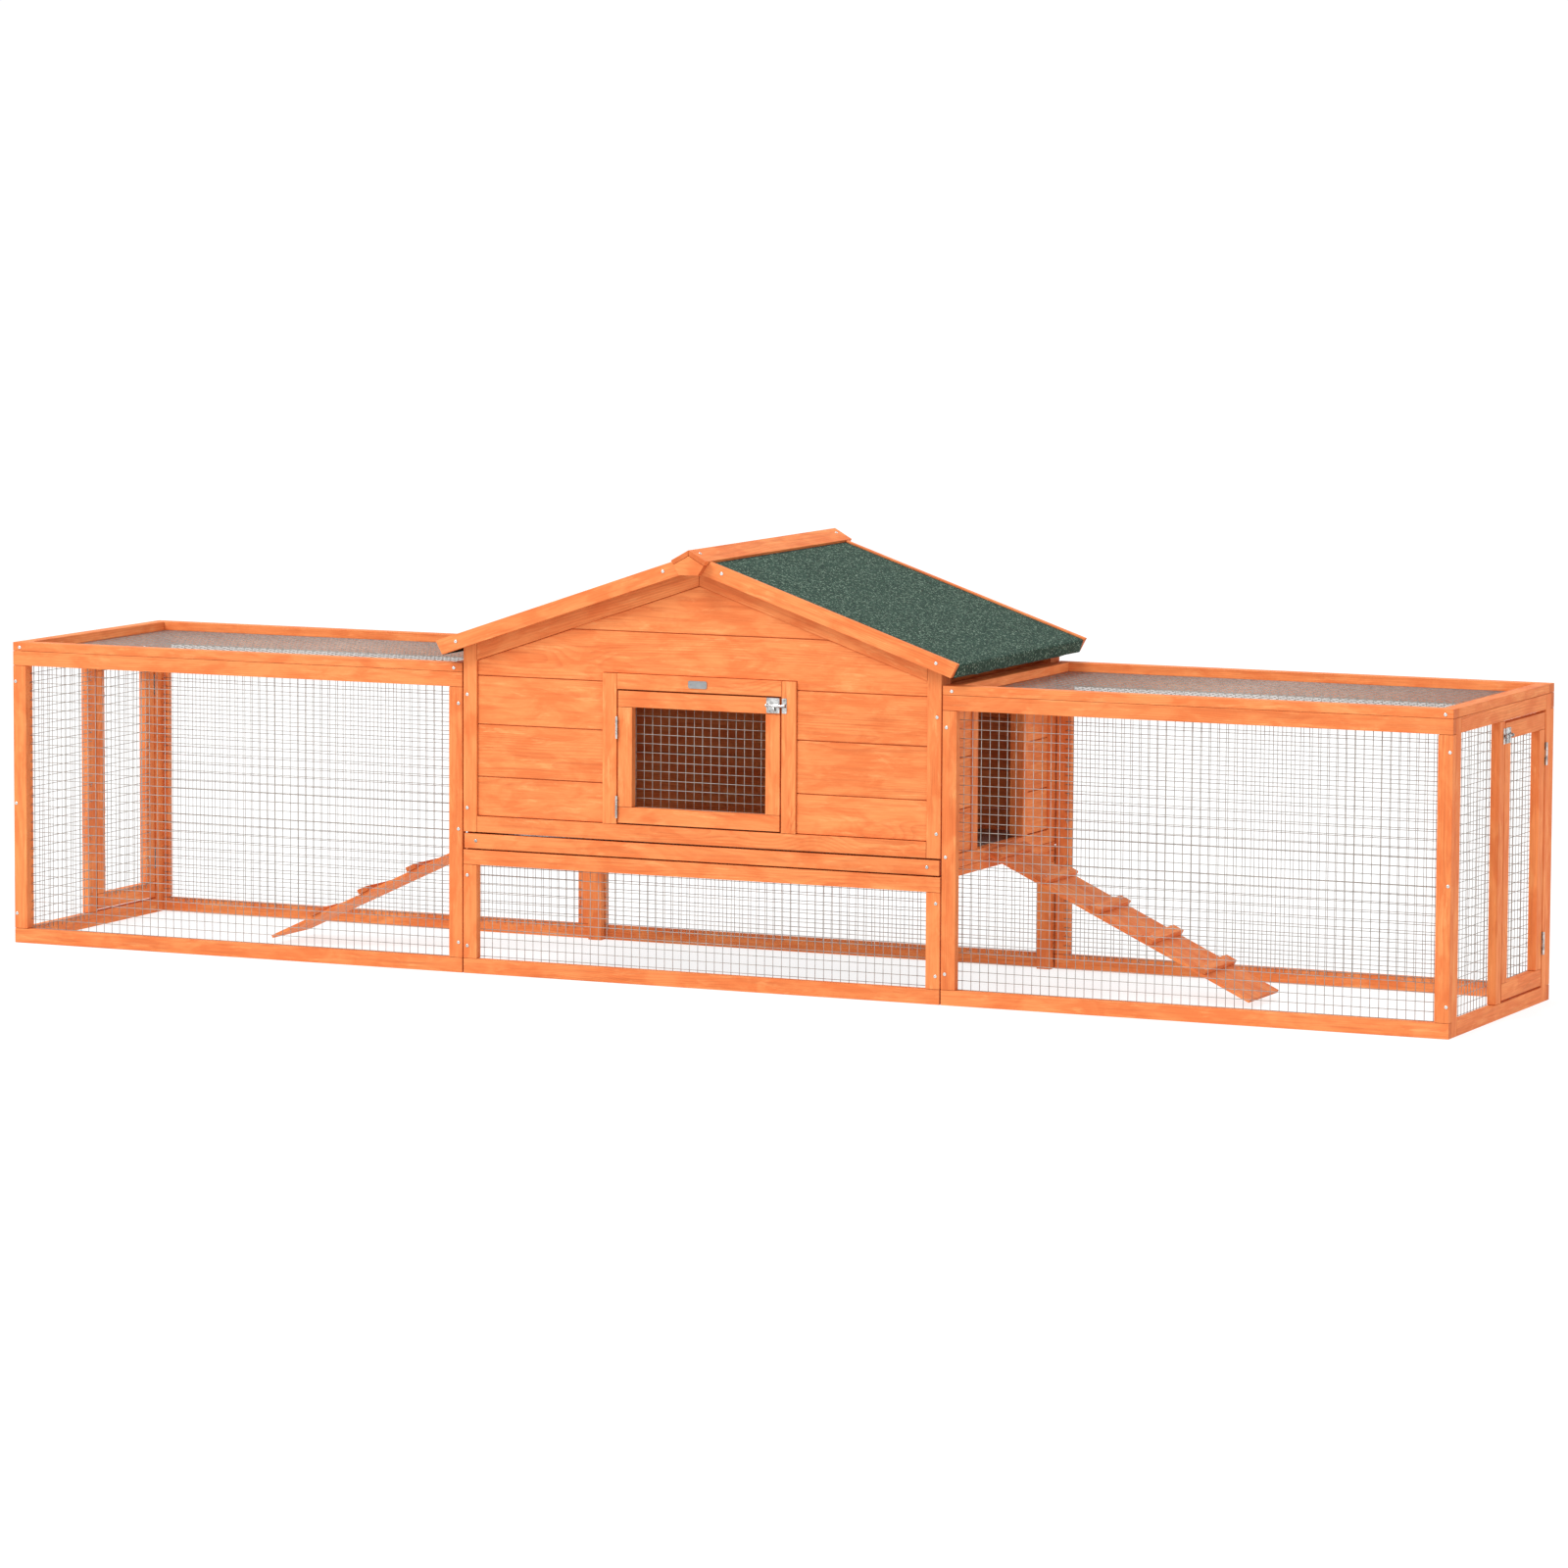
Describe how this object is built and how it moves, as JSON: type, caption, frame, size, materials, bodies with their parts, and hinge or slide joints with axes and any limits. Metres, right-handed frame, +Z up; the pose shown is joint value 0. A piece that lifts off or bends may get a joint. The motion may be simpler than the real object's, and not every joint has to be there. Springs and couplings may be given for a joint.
{
  "type": "rabbit hutch",
  "caption": "Wooden rabbit hutch with a felt-roofed house over a low run, a long mesh run at each side with an end door, and ramps up to the house.",
  "frame": {"origin": "on the floor, at the middle of the footprint", "axes": "+X along the length, to the right as the house door is faced; +Y to the back; +Z up"},
  "size_m": [3.1064, 0.698, 0.8628],
  "materials": {
    "stained_fir": "orange-stained fir, satin",
    "roof_board": "plywood under the felt",
    "green_felt": "bitumen felt with green mineral granules",
    "galvanised_wire": "galvanised woven wire",
    "zinc_steel": "bright zinc plate",
    "galvanised_sheet": "galvanised sheet",
    "plain_plate": "blank brushed plate"
  },
  "bodies": {
    "root": {"house_front_frame": "stained_fir", "house_front_planks": "stained_fir", "house_back_frame": "stained_fir", "house_back_planks": "stained_fir", "lower_front_frame": "stained_fir", "lower_back_frame": "stained_fir", "floor_bearers": "stained_fir", "rear_legs": "stained_fir", "ridge_cap": "stained_fir", "bargeboards": "stained_fir", "apex_plates": "stained_fir", "ridge_batten": "stained_fir", "lower_run_mesh": "galvanised_wire", "fixing_screws": "zinc_steel", "door_hinge_fixed_leaves": "zinc_steel", "hinge_pins": "zinc_steel", "latch_keepers": "zinc_steel", "ramp_hinge_fixed_leaves": "zinc_steel", "badge": "plain_plate", "right_run_front_frame": "stained_fir", "right_run_back_frame": "stained_fir", "right_run_end_frame": "stained_fir", "right_run_top_frame": "stained_fir", "right_house_side_frame": "stained_fir", "right_house_side_planks": "stained_fir", "right_roof_board": "roof_board", "right_roof_felt": "green_felt", "right_run_mesh": "galvanised_wire", "left_run_front_frame": "stained_fir", "left_run_back_frame": "stained_fir", "left_run_end_frame": "stained_fir", "left_run_top_frame": "stained_fir", "left_house_side_frame": "stained_fir", "left_house_side_planks": "stained_fir", "left_roof_board": "roof_board", "left_roof_felt": "green_felt", "left_run_mesh": "galvanised_wire"},
    "house_door": {"house_door_frame": "stained_fir", "house_door_mesh": "galvanised_wire", "house_door_hinge_leaves": "zinc_steel", "house_door_latch_plate": "zinc_steel"},
    "house_bolt": {"house_door_bolt": "zinc_steel"},
    "tray": {"tray_frame": "stained_fir", "tray_steel": "galvanised_sheet"},
    "right_door": {"right_door_frame": "stained_fir", "right_door_mesh": "galvanised_wire", "right_door_hinge_leaves": "zinc_steel", "right_door_latch_plate": "zinc_steel"},
    "right_bolt": {"right_door_bolt": "zinc_steel"},
    "right_ramp": {"right_ramp": "stained_fir", "right_ramp_hinge_leaves": "zinc_steel"},
    "left_door": {"left_door_frame": "stained_fir", "left_door_mesh": "galvanised_wire", "left_door_hinge_leaves": "zinc_steel", "left_door_latch_plate": "zinc_steel"},
    "left_bolt": {"left_door_bolt": "zinc_steel"},
    "left_ramp": {"left_ramp": "stained_fir", "left_ramp_hinge_leaves": "zinc_steel"}
  },
  "joints": [
    {"name": "house_door_hinge", "type": "hinge", "parent": "root", "child": "house_door", "pos_m": [-0.1757, -0.3027, 0.448], "axis": [0, 0, -1], "range_deg": [0, 115]},
    {"name": "right_door_hinge", "type": "hinge", "parent": "root", "child": "right_door", "pos_m": [1.5477, 0.2485, 0.3], "axis": [0, 0, 1], "range_deg": [0, 115]},
    {"name": "left_door_hinge", "type": "hinge", "parent": "root", "child": "left_door", "pos_m": [-1.5477, 0.2485, 0.3], "axis": [0, 0, -1], "range_deg": [0, 115]},
    {"name": "house_bolt_slide", "type": "slide", "parent": "house_door", "child": "house_bolt", "axis": [-1, 0, 0], "range_m": [0, 0.0125]},
    {"name": "right_bolt_slide", "type": "slide", "parent": "right_door", "child": "right_bolt", "axis": [0, 1, 0], "range_m": [0, 0.0125]},
    {"name": "left_bolt_slide", "type": "slide", "parent": "left_door", "child": "left_bolt", "axis": [0, 1, 0], "range_m": [0, 0.0125]},
    {"name": "tray_slide", "type": "slide", "parent": "root", "child": "tray", "axis": [0, -1, 0], "range_m": [0, 0.5]},
    {"name": "right_ramp_hinge", "type": "hinge", "parent": "root", "child": "right_ramp", "pos_m": [0.5165, 0, 0.2646], "axis": [0, -1, 0], "range_deg": [0, 45]},
    {"name": "left_ramp_hinge", "type": "hinge", "parent": "root", "child": "left_ramp", "pos_m": [-0.5165, 0, 0.2646], "axis": [0, 1, 0], "range_deg": [0, 45]}
  ]
}
